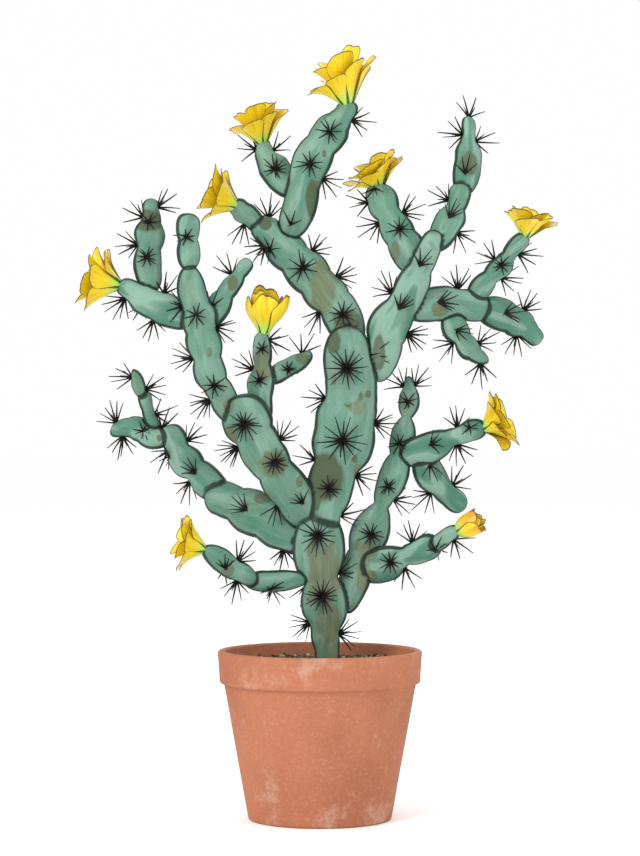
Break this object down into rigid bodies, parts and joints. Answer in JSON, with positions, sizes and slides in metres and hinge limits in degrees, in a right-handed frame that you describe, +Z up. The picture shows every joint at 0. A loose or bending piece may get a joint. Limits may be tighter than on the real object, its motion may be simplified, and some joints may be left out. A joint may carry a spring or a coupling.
{
  "type": "potted paddle cactus",
  "caption": "Branching paddle cactus with beaded green pads, star-shaped clusters of dark spines and yellow flowers, growing in a plain round terracotta pot of soil.",
  "frame": {"origin": "middle of the pot's flat underside, on the surface it stands on, which is the bottom centre of the whole object's box", "axes": "+Z up, the pot's axis; the plant's flat faces look along -Y, and +X is to the right of someone facing them"},
  "size_m": [0.4641, 0.2, 0.7463],
  "materials": {
    "cactus_skin": "waxy matte blue-green skin, streaked and blotched with olive",
    "corky_skin": "older matte green skin with olive and brown corky streaks",
    "petal": "satin yellow petal, green at the base and tinged orange",
    "terracotta": "unglazed fired clay, fully matte",
    "soil": "dry gritty potting mix, fully matte",
    "spine": "near-black horny spine, slightly glossy",
    "areole": "dark brown woolly tuft",
    "stamen": "pale yellow thread"
  },
  "bodies": {
    "root": {"trunk_lower": "corky_skin", "trunk_upper": "cactus_skin", "left_limb_pad_1": "cactus_skin", "left_limb_pad_2": "cactus_skin", "left_limb_tip": "cactus_skin", "left_limb_twig": "cactus_skin", "left_side_pad_1": "cactus_skin", "left_side_pad_2": "cactus_skin", "left_inner_pad_1": "cactus_skin", "left_inner_pad_2": "cactus_skin", "low_left_pad_1": "cactus_skin", "low_left_pad_2": "cactus_skin", "low_left_pad_3": "cactus_skin", "low_left_pad_4": "cactus_skin", "low_left_pad_5": "cactus_skin", "base_left_pad_1": "cactus_skin", "base_left_pad_2": "cactus_skin", "crown_left_pad_1": "cactus_skin", "crown_left_pad_2": "cactus_skin", "crown_left_pad_3": "cactus_skin", "crown_left_pad_4": "cactus_skin", "crown_right_pad_1": "cactus_skin", "crown_right_pad_2": "cactus_skin", "crown_right_pad_3": "cactus_skin", "crown_right_pad_4": "cactus_skin", "right_arm_pad_1": "cactus_skin", "right_arm_pad_2": "cactus_skin", "right_arm_pad_3": "cactus_skin", "right_arm_pad_4": "cactus_skin", "right_stem_pad_1": "cactus_skin", "right_stem_pad_2": "cactus_skin", "right_stem_pad_3": "cactus_skin", "low_right_pad_1": "cactus_skin", "low_right_pad_2": "cactus_skin", "flower_crown_top": "petal", "flower_crown_left": "petal", "flower_crown_tip": "petal", "flower_left_side": "petal", "flower_inner": "petal", "flower_crown_right": "petal", "flower_right_arm": "petal", "flower_right_stem": "petal", "bud_low_right": "petal", "flower_base_left": "petal", "pot": "terracotta", "soil": "soil"}
  },
  "joints": []
}
